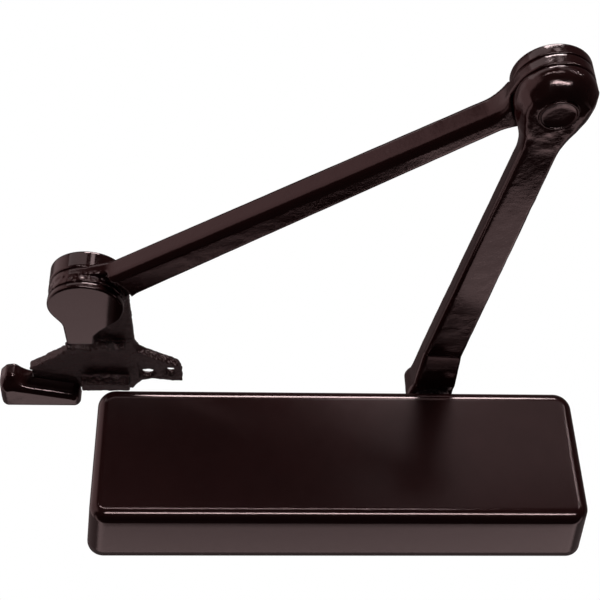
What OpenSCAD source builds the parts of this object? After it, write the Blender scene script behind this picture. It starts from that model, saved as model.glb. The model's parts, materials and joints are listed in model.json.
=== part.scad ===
// Surface door closer: a rack-and-pinion spring cylinder under a full cover, with a
// main arm, a forearm and a forged shoe that carries a stop block.
// Millimetres. The origin is the centre of the mounting face. +X runs along the cover,
// +Y goes into the door and +Z runs up the pinion's axis, towards the arms.

/* [Cover] */
// Length of the cover at the door
cover_l = 311; // [306:1:330]
// Height of the cover at the door
cover_h = 98; // [97:1:106]
// Depth of the cover, from the door to its front face
cover_d = 48; // [48:0.5:56]
// Radius of the cover's four corners
cover_r = 10.9; // [9:0.1:14]
// Radius of the edge round the front face
edge_r = 7.6; // [5:0.1:8]
// How far each side leans in between the door and the front face
cover_draft = 4.9; // [3:0.1:5]
// Thickness of the cover's wall
cover_wall = 2.5; // [1.5:0.1:2.6]
// Gap between the cover's rim and the door
rim_gap = 0.5; // [0.3:0.1:1]

/* [Cylinder] */
// Radius of the piston's bore
bore_r = 17.5; // [17:0.1:18]
// Outer radius of the barrel
barrel_r = 21.5; // [21:0.1:22]
// Length of the barrel
barrel_l = 250; // [248:1:252]
// Distance of the pinion's axis from the middle of the cover
pinion_x = 63; // [60:1:64]
// Depth of the cylinder's axis from the door
axis_depth = 23; // [22.5:0.5:23]
// Spacing of the mounting holes along the cover
hole_span_x = 230; // [226:1:232]
// Spacing of the mounting holes up the cover
hole_span_z = 60; // [58:1:62]
// Radius of each mounting hole
mount_hole_r = 3.45; // [3:0.05:3.6]

/* [Rack and pinion] */
// Module of the teeth
gear_module = 1.6; // [1.6:0.1:1.6]
// Number of teeth on the pinion
gear_teeth = 12; // [12:1:12]
// Pressure angle of the teeth
pressure_angle = 25; // [24:1:26]
// Travel of the piston from rest to its left limit
piston_travel = 28.6; // [20:0.1:29]
// Radius of the pinion's two journals
journal_r = 8; // [7.6:0.1:8]

/* [Spring] */
// Mean radius of the coil spring
spring_r = 13.2; // [12.5:0.1:13.4]
// Radius of the spring's wire
wire_r = 3.2; // [2.5:0.1:3.4]
// Number of turns
spring_turns = 13; // [11:1:14]

/* [Arms] */
// Length of the main arm between its two axes
main_l = 251.4; // [245:0.1:255]
// Direction of the main arm, from the pinion to the elbow
main_dir = -83.8; // [-90:0.1:-75]
// Length of the forearm between its two axes
fore_l = 311.8; // [305:0.1:320]
// Direction of the forearm, from the elbow to the shoe
fore_dir = 142.7; // [135:0.1:150]
// Radius of the elbow's discs
elbow_r = 20.5; // [20:0.1:21]
// Radius of the shoe's two lugs and of the forearm's eye between them
lug_r = 23.6; // [23:0.1:24]

/* [Shoe] */
// Height of the shoe's mounting face above the cylinder's axis
seat_z = 106; // [105.5:0.5:107]
// Radius of the straight part of the shoe's inner screw hole
inner_hole_r = 4.2; // [3.5:0.1:4.5]
// Radius of the straight part of the shoe's outer screw hole
outer_hole_r = 3; // [2.6:0.1:3.5]
// Radius of each shoe screw hole's countersink
shoe_sink_r = 6.4; // [5.5:0.1:6.5]

/* [Hidden] */
$fn = 64;
HULL_FN = 32;
bit = 0.01;              // overrun of a cut past the face that it opens
run_gap = 0.04;          // radial clearance of a running fit
body_gap = 0.3;          // space between pieces that move past each other
axis_y = -axis_depth;
bronze = [0.20, 0.13, 0.12];
bare_steel = [0.62, 0.63, 0.65];
iron = [0.30, 0.30, 0.32];
brass_tone = [0.75, 0.62, 0.32];
seal_black = [0.07, 0.07, 0.07];

// Teeth
pitch_r = gear_module * gear_teeth / 2;
tip_r = pitch_r + gear_module;
root_r = pitch_r - 1.25 * gear_module;
base_r = pitch_r * cos(pressure_angle);
tooth_pitch = PI * gear_module;
backlash = 0.12;         // taken off each tooth's thickness at the pitch line
gear_half = 9;           // half the length of the pinion's teeth
rack_half = 8.5;

// Ends of the barrel
barrel_end = barrel_l / 2;
cap_flange = 15;
cap_plug = 9;

// Piston, at rest against the right end cap
slot_right = pinion_x + tip_r + piston_travel + 1;
slot_left = pinion_x - tip_r - 1;
piston_left = slot_left - 18;
piston_right = barrel_end - cap_plug - 0.4;
piston_r = bore_r - 0.05;
rack_y = axis_y - pitch_r;
check_r = 3.2;           // radius of the check valve's chamber
check_seat_x = piston_left + 12;

// Spring adjuster and seat
adjuster_r = 5;
adjuster_tip = -92;
collar_r = 9;
seat_thick = 6;
seat_x = -104;           // left face of the spring's seat

// Pinion bearings and glands
bearing_r = 12;
gland_r = 15;
bearing_z = [13.6, 29];
seal_z = [29.5, 32.5];
gland_z = [33, 40];
boss_top = 40;
shaft_square = 11.3;
square_top = 66;
hub_z = [51, 70];
hub_r = 14.4;
screw_r = 4;

// Regulating valves, along the underside of the barrel
valve_x = [18, 95, 110];
valve_r = 4;
valve_z = [-32.5, -23.6];
boss_z = -33;
valve_groove_z = [-29, -27];
valve_groove_r = 2.8;

// Cover screws
cover_screw_x = [-92, 112];
cover_screw_r = 2.5;
post_top = 42.6;
head_seat_z = 45.1;

// Elbow
stud_r = 9.3;
pin_r = 8;
bush_r = 10;
boss_z_low = 71.5;
boss_z_top = 85.5;
eye_top = 93.1;
elbow_eye_z = 85.9;
cap_z = [93.4, 100];
stud_step = 79;
pin_top = 98;            // end of the elbow's pin, inside its cap
boss_mid_z = 84.7;       // height at which the elbow's boss is widest
boss_drop = 14.8;        // how far its curved side falls away below that
boss_flat = asin((boss_mid_z - boss_z_low) / boss_drop);
boss_side = concat([[0, boss_z_top], [0, boss_z_low]],
    [for (k = [0:10]) let (a = boss_flat * (1 - k / 10))
        [elbow_r * cos(a), boss_mid_z - boss_drop * sin(a)]],
    [[elbow_r, boss_z_top]]);
elbow = [pinion_x + main_l * cos(main_dir), axis_y + main_l * sin(main_dir)];

// Forearm
bar_z = [82, 95];
hub_eye_z = 83.6;
fore_w_elbow = 15;
fore_w_hub = 25;
lug_gap = 0.7;           // space round the discs before the bar takes its full height
recess_r = 30;           // the bar's underside is cut back round the lower lug
recess_z = 87.5;
hub = elbow + fore_l * [cos(fore_dir), sin(fore_dir)];

// Main arm
// Its plan as [distance from the pinion, half of its width]
main_plan = [[0, 14.4], [38, 12.3], [252, 9.2]];
// Side view of the bar as [distance from the pinion, height]
main_side = [[0, 51], [16, 51], [38, 60], [232, 71.5], [252, 73], [252, 81.2], [232, 81.2],
    [38, 72], [16, 68], [0, 68]];

// Shoe, with all plan points measured from its pivot
low_lug_z = [78.9, 83.2];
top_lug_z = 93.5;
lug_pin_z = [80.5, 104.5];
plate_z = 99;
flange_z = 99.5;
wing_z = 101.5;
rib_z = 91;
ear_z = 101;
tongue_x = [-22, 23.6];
tongue_back = 92;
neck_x = [-16.3, 1.8];
neck_side = [[15, 78.9], [44, 78.9], [66, 97], [66, 100], [15, 100]];
neck_foot = [[-16.3, 12], [18, 12], [2, 34], [0.5, 44], [-16.3, 44]];
neck_foot_top = 81.7;
ridge_x = [-22, 18];
ridge_r = 3.8;
ridge_at = [74, 96.2];  // distance behind the pivot, and height
left_wing = [[-26.5, 89.5], [-51.5, 111], [-53, 113.5], [-50, 114.8], [-18, 123.8], [-5, 123.8],
    [-5, 89.5]];
middle = [[-22, 85], [22, 85], [24, 100], [25, 126.3], [18.9, 139.3], [-17.5, 139.3],
    [-17.5, 123], [-24, 118]];
right_wing = [[10, 79], [23.7, 87], [52.3, 106.5], [54.9, 116.5], [54.9, 132.4], [36, 130],
    [33.5, 129], [25, 131.5], [19.5, 138], [10, 138]];
right_flange = [[8, 79], [23.7, 87], [52.3, 106.5], [54.5, 113.5], [41, 107.3], [16, 99]];
rib = [[-16.5, 119], [17.5, 119], [17.5, 129], [-16.5, 129]];
ear = [[-52, 114.5], [-12, 118], [-12, 135], [-20.5, 143], [-52, 143]];
// Each screw hole as [x, y, radius, depth of its countersink]
shoe_holes = [[30.3, 121.2, inner_hole_r, 3.0], [46.8, 118.8, outer_hole_r, 2.5]];
block_low_z = 89;
block_plan = [[-74.6, 125], [-73, 123], [-66, 122], [-24, 134.5], [-20.5, 136.5], [-19.5, 139],
    [-19.5, 147], [-21, 149.5], [-23.5, 151], [-72.5, 151], [-75.2, 149.5], [-76.5, 147]];
block_ear = [[-73, 140], [-73, 122], [-70.5, 117.3], [-68, 116], [-64, 115.8], [-61.5, 121], [-59, 130]];
block_ear_z = 97;
block_screws = [[-46, 138.5], [-29, 138.5]];
block_screw_r = 2.5;
block_head_r = 4.4;
head_h = 2.2;

// A cylinder between two heights
module post(r, z) {
    translate([0, 0, z[0]]) cylinder(r = r, h = z[1] - z[0]);
}

// A tube between two heights
module tube(r_out, r_in, z) {
    difference() {
        post(r_out, z);
        post(r_in, [z[0] - bit, z[1] + bit]);
    }
}

// Its children lie along +Z, and are turned to lie along +X on the cylinder's axis
module along_bore() {
    translate([0, axis_y, 0]) rotate([0, 90, 0]) children();
}

module at_pinion() {
    translate([pinion_x, axis_y, 0]) children();
}

module at_elbow() {
    translate([elbow[0], elbow[1], 0]) children();
}

module at_hub() {
    translate([hub[0], hub[1], 0]) children();
}

// A plan outline between two heights
module slab(points, z) {
    translate([0, 0, z[0]]) linear_extrude(z[1] - z[0]) polygon(points);
}

// ---- Cover ----

// The cover's outer form, or its inner one when shrunk by the wall
module cover_form(inset, back_y) {
    corner = cover_r - inset;
    edge = edge_r - inset;
    $fn = HULL_FN;
    hull()
        for (sx = [-1, 1], sz = [-1, 1]) {
            translate([sx * (cover_l / 2 - cover_r), back_y, sz * (cover_h / 2 - cover_r)])
                rotate([90, 0, 0]) cylinder(r = corner, h = 0.1);
            translate([sx * (cover_l / 2 - cover_r - cover_draft), edge_r - cover_d,
                    sz * (cover_h / 2 - cover_r - cover_draft)])
                rotate([90, 0, 0]) rotate_extrude() intersection() {
                    translate([corner - edge, 0]) circle(r = edge);
                    translate([0, -edge]) square([corner, 2 * edge]);
                }
        }
}

module cover() {
    opening_r = hub_r + 3;
    color(bronze) difference() {
        cover_form(0, -rim_gap);
        cover_form(cover_wall, 1);
        at_pinion() {
            post(opening_r, [30, 60]);
            translate([-opening_r, 0, 30]) cube([2 * opening_r, axis_depth + 1, 30]);
        }
        for (x = cover_screw_x) translate([x, axis_y, 0]) {
            post(cover_screw_r + 0.2, [30, 60]);
            post(4.8, [head_seat_z, 60]);
        }
    }
}

module cover_screws() {
    color(iron) for (x = cover_screw_x) translate([x, axis_y, 0]) difference() {
        union() {
            post(cover_screw_r, [post_top - 11, head_seat_z]);
            post(4.5, [head_seat_z, head_seat_z + 2.3]);
        }
        translate([0, 0, head_seat_z + 0.8]) cylinder(r = 1.7, h = 3, $fn = 6);
    }
}

// ---- Cylinder ----

module mounting_feet() {
    pad_r = 10;
    pad_h = 8;
    for (sx = [-1, 1], sz = [-1, 1]) {
        translate([sx * hole_span_x / 2, 0, sz * hole_span_z / 2])
            rotate([90, 0, 0]) cylinder(r = pad_r, h = pad_h);
        translate([sx * hole_span_x / 2 - pad_r, -pad_h, sz > 0 ? 0 : -hole_span_z / 2])
            cube([2 * pad_r, pad_h, hole_span_z / 2]);
    }
}

module cylinder_body() {
    color(iron) difference() {
        union() {
            translate([-barrel_end, 0, 0]) along_bore() cylinder(r = barrel_r, h = barrel_l);
            translate([-barrel_end, -8, -18]) cube([barrel_l, 8, 36]);
            mounting_feet();
            at_pinion() post(19, [-boss_top, boss_top]);
            for (x = cover_screw_x) translate([x, axis_y, 0]) post(5.5, [0, post_top]);
            for (x = valve_x) translate([x, axis_y, 0]) post(6.5, [boss_z, 0]);
        }
        translate([-barrel_end - 1, 0, 0]) along_bore() cylinder(r = bore_r, h = barrel_l + 2);
        at_pinion() {
            post(bearing_r, [-36, 36]);
            post(gland_r, [gland_z[0] - 0.4, boss_top + bit]);
            post(gland_r, [-boss_top - bit, 0.4 - gland_z[0]]);
        }
        for (x = cover_screw_x) translate([x, axis_y, 0])
            post(cover_screw_r, [post_top - 12, post_top + bit]);
        for (x = valve_x) translate([x, axis_y, 0]) {
            post(valve_r + run_gap, [boss_z - bit, -23.3]);
            post(1.2, [-24, -10]);
        }
        for (sx = [-1, 1], sz = [-1, 1])
            translate([sx * hole_span_x / 2, 1, sz * hole_span_z / 2])
                rotate([90, 0, 0]) cylinder(r = mount_hole_r, h = 10);
    }
}

// A threaded end cap, seen with its plug towards +X
module end_cap_form(hole_r) {
    flats = 38;
    difference() {
        union() {
            translate([-barrel_end - cap_flange, 0, 0]) along_bore()
                intersection() {
                    cylinder(r = barrel_r - 0.5, h = cap_flange);
                    translate([-flats / 2, -flats / 2, 0]) cube([flats, flats, cap_flange]);
                }
            translate([-barrel_end, 0, 0]) along_bore() cylinder(r = bore_r, h = cap_plug);
        }
        translate([-barrel_end + 4, 0, 0]) along_bore() difference() {
            cylinder(r = bore_r + 1, h = 2.4);
            translate([0, 0, -1]) cylinder(r = bore_r - 1.8, h = 5);
        }
        if (hole_r > 0)
            translate([-barrel_end - cap_flange - 1, 0, 0]) along_bore()
                cylinder(r = hole_r, h = cap_flange + cap_plug + 2);
    }
}

module left_end_cap() {
    color(iron) end_cap_form(adjuster_r + run_gap);
}

module right_end_cap() {
    color(iron) mirror([1, 0, 0]) end_cap_form(0);
}

module end_cap_seals() {
    color(seal_black) for (side = [0, 1]) mirror([side, 0, 0])
        translate([-barrel_end + 5.2, 0, 0]) along_bore()
            rotate_extrude() translate([bore_r - 0.9, 0]) circle(r = 0.88);
}

// ---- Spring and its seat ----

spring_from = seat_x + seat_thick + wire_r + 0.1;
spring_to = piston_left - wire_r - 0.1;
WIRE_SIDES = 8;
TURN_STEPS = 14;
spring_steps = spring_turns * TURN_STEPS;

function wire_point(step, side) =
    let (turn = 360 * step / TURN_STEPS, a = 360 * side / WIRE_SIDES,
        r = spring_r + wire_r * sin(a))
    [spring_from + (spring_to - spring_from) * step / spring_steps + wire_r * cos(a),
        axis_y + r * cos(turn), r * sin(turn)];

module power_spring() {
    color(bare_steel) polyhedron(
        points = [for (i = [0:spring_steps], j = [0:WIRE_SIDES - 1]) wire_point(i, j)],
        faces = concat(
            [[for (j = [0:WIRE_SIDES - 1]) j]],
            [[for (j = [0:WIRE_SIDES - 1]) (spring_steps + 1) * WIRE_SIDES - 1 - j]],
            [for (i = [0:spring_steps - 1], j = [0:WIRE_SIDES - 1])
                let (k = (j + 1) % WIRE_SIDES)
                [i * WIRE_SIDES + j, (i + 1) * WIRE_SIDES + j,
                    (i + 1) * WIRE_SIDES + k, i * WIRE_SIDES + k]]));
}

module spring_seat() {
    color(bare_steel) translate([seat_x, 0, 0]) along_bore() difference() {
        union() {
            cylinder(r = bore_r - 0.1, h = seat_thick);
            cylinder(r = spring_r - wire_r - 0.6, h = seat_thick + 4);
        }
        translate([0, 0, -1]) cylinder(r = adjuster_r + run_gap, h = seat_thick + 6);
    }
}

module spring_adjuster() {
    outer_end = -barrel_end - cap_flange + 1;
    plug_end = -barrel_end + cap_plug;
    color(bare_steel) difference() {
        union() {
            translate([outer_end, 0, 0]) along_bore()
                cylinder(r = adjuster_r, h = adjuster_tip - outer_end);
            translate([plug_end + body_gap, 0, 0]) along_bore() cylinder(r = collar_r, h = 2);
        }
        translate([outer_end - 1, 0, 0]) along_bore() cylinder(r = 2.9, h = 8, $fn = 6);
    }
}

// ---- Piston ----

module rack_tooth() {
    half_tip = (tooth_pitch / 2 - backlash) / 2 - gear_module * tan(pressure_angle);
    half_root = (tooth_pitch / 2 - backlash) / 2 + 1.25 * gear_module * tan(pressure_angle);
    translate([0, 0, -rack_half]) linear_extrude(2 * rack_half)
        polygon([[-half_root, -1.25 * gear_module], [half_root, -1.25 * gear_module],
            [half_tip, gear_module], [-half_tip, gear_module]]);
}

module piston() {
    rack_root_y = rack_y - 1.25 * gear_module;
    slot_far_y = axis_y + tip_r + 0.8;
    first_tooth = ceil((slot_left + 1 - pinion_x) / tooth_pitch);
    last_tooth = floor((slot_right - 2 - pinion_x) / tooth_pitch);
    color(bare_steel) {
        difference() {
            translate([piston_left, 0, 0]) along_bore()
                cylinder(r = piston_r, h = piston_right - piston_left);
            translate([slot_left, rack_root_y, -bore_r - 1])
                cube([slot_right - slot_left, slot_far_y - rack_root_y, 2 * bore_r + 2]);
            translate([piston_left + 5, 0, 0]) along_bore() difference() {
                cylinder(r = bore_r + 1, h = 3);
                translate([0, 0, -1]) cylinder(r = piston_r - 1.9, h = 5);
            }
            translate([piston_left - 1, 0, 0]) along_bore() cylinder(r = check_r, h = 13);
            translate([check_seat_x - 1, 0, 0]) along_bore() cylinder(r = 1.6, h = 10);
        }
        for (k = [first_tooth:last_tooth])
            translate([pinion_x + k * tooth_pitch, rack_y, 0]) rack_tooth();
    }
}

module piston_seal() {
    color(seal_black) translate([piston_left + 5.1, 0, 0]) along_bore()
        difference() {
            cylinder(r = piston_r, h = 2.8);
            translate([0, 0, -1]) cylinder(r = piston_r - 1.9, h = 5);
        }
}

module check_ball() {
    ball_r = 2.9;
    color(bare_steel) translate([check_seat_x - ball_r, axis_y, 0]) sphere(r = ball_r);
}

module check_retainer() {
    color(brass_tone) translate([piston_left + 1, 0, 0]) along_bore() difference() {
        cylinder(r = check_r, h = 3);
        translate([0, 0, -1]) cylinder(r = 1.5, h = 5);
    }
}

// ---- Pinion ----

// Angle that an involute has turned through at radius r
function involute(r) =
    let (t = sqrt(max(0, pow(r / base_r, 2) - 1)))
    t * 180 / PI - atan(t);

// Half a tooth's angle at radius r
function half_tooth(r) =
    (tooth_pitch / 2 - backlash) / 2 / pitch_r * 180 / PI + involute(pitch_r) - involute(r);

FLANK_STEPS = 5;
flank = concat([root_r], [for (i = [0:FLANK_STEPS]) base_r + (tip_r - base_r) * i / FLANK_STEPS]);

module pinion_teeth() {
    space = 360 / gear_teeth;
    last = len(flank) - 1;
    linear_extrude(2 * gear_half, center = true)
        polygon([for (k = [0:gear_teeth - 1]) each concat(
            [for (i = [0:last]) let (a = (k + 0.5) * space - half_tooth(max(flank[i], base_r)))
                flank[i] * [cos(a), sin(a)]],
            [for (i = [last:-1:0]) let (a = (k + 0.5) * space + half_tooth(max(flank[i], base_r)))
                flank[i] * [cos(a), sin(a)]])]);
}

module pinion_shaft() {
    color(bare_steel) at_pinion() difference() {
        union() {
            pinion_teeth();
            post(journal_r, [-32, hub_z[0] - 2]);
            translate([-shaft_square / 2, -shaft_square / 2, hub_z[0] - 3])
                cube([shaft_square, shaft_square, square_top - hub_z[0] + 3]);
        }
        post(screw_r, [square_top - 18, square_top + 1]);
    }
}

module upper_bearing() {
    color(brass_tone) at_pinion() tube(bearing_r, journal_r + run_gap, bearing_z);
}

module lower_bearing() {
    color(brass_tone) mirror([0, 0, 1]) at_pinion()
        tube(bearing_r, journal_r + run_gap, bearing_z);
}

module pinion_seals() {
    color(seal_black) {
        at_pinion() tube(bearing_r, journal_r + run_gap, seal_z);
        mirror([0, 0, 1]) at_pinion() tube(bearing_r, journal_r + run_gap, [29.5, 31.5]);
    }
}

module upper_gland() {
    slot_w = 3;
    color(iron) at_pinion() difference() {
        tube(gland_r, journal_r + body_gap, gland_z);
        for (turn = [0, 90]) rotate(turn) translate([-gland_r - 1, -slot_w / 2, 37.5])
            cube([2 * gland_r + 2, slot_w, 5]);
    }
}

module lower_gland() {
    color(iron) at_pinion() difference() {
        post(gland_r, [-gland_z[1], -gland_z[0]]);
        translate([0, 0, -gland_z[1] - 1]) cylinder(r = 5, h = 5, $fn = 6);
    }
}

// ---- Regulating valves ----

module valve(x) {
    color(brass_tone) translate([x, axis_y, 0]) difference() {
        post(valve_r, valve_z);
        difference() {
            post(valve_r + 1, valve_groove_z);
            post(valve_groove_r, [-40, -20]);
        }
        translate([0, 0, valve_z[0] - 1]) cylinder(r = 1.8, h = 3.5, $fn = 6);
    }
}

module sweep_valve() {
    valve(valve_x[1]);
}

module latch_valve() {
    valve(valve_x[2]);
}

module backcheck_valve() {
    valve(valve_x[0]);
}

module valve_seals() {
    color(seal_black) for (x = valve_x) translate([x, axis_y, 0])
        tube(valve_r, valve_groove_r + run_gap, [valve_groove_z[0] + 0.1, valve_groove_z[1] - 0.1]);
}

// ---- Main arm and elbow ----

// The bar of the main arm, along +X from the pinion
module main_bar() {
    intersection() {
        rotate([90, 0, 0]) linear_extrude(60, center = true) polygon(main_side);
        slab(concat([for (p = main_plan) [p[0], -p[1]]],
            [for (i = [len(main_plan) - 1:-1:0]) main_plan[i]]), [0, 200]);
    }
}

module main_arm() {
    color(bronze) difference() {
        union() {
            at_pinion() {
                post(hub_r, hub_z);
                rotate(main_dir) main_bar();
            }
            at_elbow() {
                rotate_extrude() polygon(boss_side);
            }
        }
        at_pinion() {
            translate([-shaft_square / 2, -shaft_square / 2, hub_z[0] - 1])
                cube([shaft_square, shaft_square, square_top - hub_z[0] + 1.3]);
            post(screw_r + 0.3, [60, 80]);
            post(hub_r, [hub_z[1], 90]);
        }
        at_elbow() {
            post(stud_r, [60, stud_step]);
            post(pin_r, [60, 90]);
        }
    }
}

module arm_washer() {
    color(bare_steel) at_pinion() tube(11, screw_r + 0.2, [hub_z[1], hub_z[1] + 1.6]);
}

module arm_screw() {
    head_z = hub_z[1] + 1.6;
    color(bare_steel) at_pinion() difference() {
        union() {
            post(screw_r, [square_top - 16, head_z]);
            post(6.5, [head_z, head_z + 5]);
        }
        translate([0, 0, head_z + 2]) cylinder(r = 3.4, h = 4, $fn = 6);
    }
}

module elbow_stud() {
    color(bronze) at_elbow() {
        post(stud_r - 0.15, [boss_z_low + 0.1, stud_step]);
        post(pin_r, [stud_step, pin_top]);
    }
}

module elbow_washer() {
    color(bare_steel) at_elbow() tube(13, pin_r, [eye_top + 0.1, cap_z[0] + 1]);
}

module elbow_cap() {
    color(bronze) at_elbow() difference() {
        rotate_extrude() {
            translate([0, cap_z[0]]) square([elbow_r - 1.2, cap_z[1] - cap_z[0]]);
            translate([0, cap_z[0]]) square([elbow_r, cap_z[1] - cap_z[0] - 1.2]);
            translate([elbow_r - 1.2, cap_z[1] - 1.2]) circle(r = 1.2);
        }
        post(13.1, [cap_z[0] - 1, cap_z[0] + 1]);
        post(pin_r, [cap_z[0], pin_top]);
    }
}

module elbow_bush() {
    color(brass_tone) at_elbow() tube(bush_r, pin_r + run_gap, [elbow_eye_z, eye_top]);
}

// ---- Forearm ----

module forearm() {
    disc_room = lug_r + lug_gap;
    elbow_room = elbow_r + lug_gap;
    color(bronze) difference() {
        union() {
            at_elbow() post(elbow_r, [elbow_eye_z, eye_top]);
            at_hub() post(lug_r, [hub_eye_z, eye_top]);
            difference() {
                at_elbow() rotate(fore_dir)
                    slab([[10, -fore_w_elbow / 2], [fore_l - 10, -fore_w_hub / 2],
                        [fore_l - 10, fore_w_hub / 2], [10, fore_w_elbow / 2]], bar_z);
                at_hub() post(recess_r, [bar_z[0] - 1, recess_z]);
            }
        }
        at_elbow() {
            post(elbow_room, [bar_z[0] - 1, elbow_eye_z]);
            post(elbow_room, [eye_top, bar_z[1] + 1]);
            post(bush_r, [80, 100]);
        }
        at_hub() {
            post(disc_room, [bar_z[0] - 1, hub_eye_z]);
            post(disc_room, [eye_top, bar_z[1] + 1]);
            post(bush_r, [80, 100]);
        }
    }
}

module hub_bush() {
    color(brass_tone) at_hub() tube(bush_r, pin_r + run_gap, [hub_eye_z, eye_top]);
}

// ---- Shoe ----

module shoe_bracket() {
    color(bronze) at_hub() difference() {
        union() {
            post(lug_r, low_lug_z);
            post(lug_r, [top_lug_z, seat_z]);
            translate([tongue_x[0], 0, plate_z])
                cube([tongue_x[1] - tongue_x[0], tongue_back, seat_z - plate_z]);
            translate([neck_x[0], 0, 0]) rotate([90, 0, 90])
                linear_extrude(neck_x[1] - neck_x[0]) polygon(neck_side);
            slab(neck_foot, [low_lug_z[0], neck_foot_top]);
            translate([ridge_x[0], ridge_at[0], ridge_at[1]]) rotate([0, 90, 0])
                cylinder(r = ridge_r, h = ridge_x[1] - ridge_x[0]);
            slab(left_wing, [plate_z, seat_z]);
            slab(middle, [plate_z, seat_z]);
            slab(rib, [rib_z, seat_z]);
            slab(right_wing, [wing_z, seat_z]);
            slab(right_flange, [flange_z, seat_z]);
            slab(ear, [ear_z, seat_z]);
        }
        post(lug_r + lug_gap, [low_lug_z[1], top_lug_z]);
        post(pin_r, lug_pin_z);
        for (p = shoe_holes) translate([p[0], p[1], 0]) rotate_extrude()
            polygon([[0, 90], [shoe_sink_r, 90], [shoe_sink_r, wing_z],
                [p[2], wing_z + p[3]], [p[2], seat_z + 1], [0, seat_z + 1]]);
        for (p = block_screws) translate([p[0], p[1], 0]) rotate_extrude()
            polygon([[0, 90], [block_screw_r, 90], [block_screw_r, seat_z - head_h],
                [block_head_r + 0.3, seat_z + bit], [0, seat_z + bit]]);
    }
}

module shoe_pin() {
    color(bare_steel) at_hub() post(pin_r, lug_pin_z);
}

module stop_block() {
    color(bronze) at_hub() difference() {
        union() {
            slab(block_plan, [block_low_z, seat_z]);
            slab(block_ear, [block_ear_z, seat_z]);
        }
        slab([[-53, 110], [-18, 110], [-18, 152], [-53, 152]], [ear_z, seat_z + 1]);
        for (p = block_screws) translate([p[0], p[1], 0])
            post(block_screw_r, [94, seat_z + 1]);
    }
}

module stop_block_screws() {
    color(iron) at_hub() for (p = block_screws) translate([p[0], p[1], 0]) difference() {
        rotate_extrude() polygon([[0, 94.5], [block_screw_r, 94.5], [block_screw_r, seat_z - head_h],
            [block_head_r, seat_z - 0.2], [0, seat_z - 0.2]]);
        translate([0, 0, seat_z - 1.6]) cylinder(r = 1.5, h = 3, $fn = 6);
    }
}

cover();
cover_screws();
cylinder_body();
left_end_cap();
right_end_cap();
end_cap_seals();
power_spring();
spring_seat();
spring_adjuster();
piston();
piston_seal();
check_ball();
check_retainer();
pinion_shaft();
upper_bearing();
lower_bearing();
pinion_seals();
upper_gland();
lower_gland();
sweep_valve();
latch_valve();
backcheck_valve();
valve_seals();
main_arm();
arm_washer();
arm_screw();
elbow_stud();
elbow_washer();
elbow_cap();
elbow_bush();
forearm();
hub_bush();
shoe_bracket();
shoe_pin();
stop_block();
stop_block_screws();
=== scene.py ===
"""The looks of the door closer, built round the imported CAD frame.

Lengths are in millimetres in the part's frame until a mesh is made, and MM turns them into metres.
The forged pieces are distance fields: each is a sum of simple solids with blended joins, and
surface_net() turns it into a mesh. They are drawn with an arm's or the shoe's pivot on the Z axis,
and turned and moved into place as their mesh is made. The cover is lofted from rounded outlines,
the elbow's stud and cap are turned, and the spring is a swept coil.
"""
import json
import math

import bmesh
import bpy
import numpy as np
from mathutils import Matrix, Vector


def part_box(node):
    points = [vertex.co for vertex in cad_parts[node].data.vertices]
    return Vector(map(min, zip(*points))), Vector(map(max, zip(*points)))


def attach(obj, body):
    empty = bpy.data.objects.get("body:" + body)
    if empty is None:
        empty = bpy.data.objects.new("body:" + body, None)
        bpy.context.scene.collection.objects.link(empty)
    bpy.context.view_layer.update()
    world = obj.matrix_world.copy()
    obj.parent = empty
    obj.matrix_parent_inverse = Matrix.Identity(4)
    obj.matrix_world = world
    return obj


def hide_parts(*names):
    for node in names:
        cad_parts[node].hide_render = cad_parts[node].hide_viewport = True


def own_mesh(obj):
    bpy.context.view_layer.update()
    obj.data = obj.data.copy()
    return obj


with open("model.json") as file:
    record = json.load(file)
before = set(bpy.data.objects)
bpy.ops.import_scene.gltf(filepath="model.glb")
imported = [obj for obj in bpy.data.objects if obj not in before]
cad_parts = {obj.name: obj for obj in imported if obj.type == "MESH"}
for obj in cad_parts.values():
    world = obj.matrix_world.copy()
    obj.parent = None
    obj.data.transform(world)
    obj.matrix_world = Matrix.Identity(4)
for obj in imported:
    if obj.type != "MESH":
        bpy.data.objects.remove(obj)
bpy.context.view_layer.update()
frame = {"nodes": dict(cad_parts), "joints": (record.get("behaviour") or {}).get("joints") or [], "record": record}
MM = 0.001

# ---- Dimensions, from the CAD frame ----


def joint(name):
    return next(j for j in frame["joints"] if j["name"] == name)


def node_z(node, end):
    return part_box(node)[end][2] / MM


PINION = np.array(joint("pinion_turn")["pos_m"]) / MM
ELBOW = np.array(joint("elbow_turn")["pos_m"]) / MM
HUB = np.array(joint("shoe_turn")["pos_m"]) / MM
MAIN_L = float(np.hypot(*(ELBOW - PINION)[:2]))
MAIN_DIR = math.atan2(*(ELBOW - PINION)[1::-1])
FORE_L = float(np.hypot(*(HUB - ELBOW)[:2]))
FORE_DIR = math.atan2(*(HUB - ELBOW)[1::-1])
ELBOW_R = 20.5           # the round joint at the elbow
LUG_R = 23.6             # the round lugs of the shoe
PIN_R = 8.02             # bores for the elbow's stud and the shoe's pin
BUSH_R = 10.02           # bores for the bushes in the forearm's eyes
SEAT_Z = node_z("shoe_bracket", 1)
CAP_Z = (node_z("elbow_cap", 0), node_z("elbow_cap", 1))

# ---- Distance fields ----


def smooth_min(a, b, k):
    h = np.maximum(k - np.abs(a - b), 0) / k
    return np.minimum(a, b) - h * h * k / 4


def smooth_max(a, b, k):
    return -smooth_min(-a, -b, k)


def rounded(flat, tall, r):
    """Distance to a solid given by two distances, with its edges rounded to radius r."""
    return (np.minimum(np.maximum(flat + r, tall + r), 0)
            + np.hypot(np.maximum(flat + r, 0), np.maximum(tall + r, 0)) - r)


def between(z, low, high):
    """Signed distance to a slab."""
    return np.abs(z - (low + high) / 2) - (high - low) / 2


def disc(x, y, z, radius, low, high, r=0.6):
    return rounded(np.hypot(x, y) - radius, between(z, low, high), r)


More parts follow.
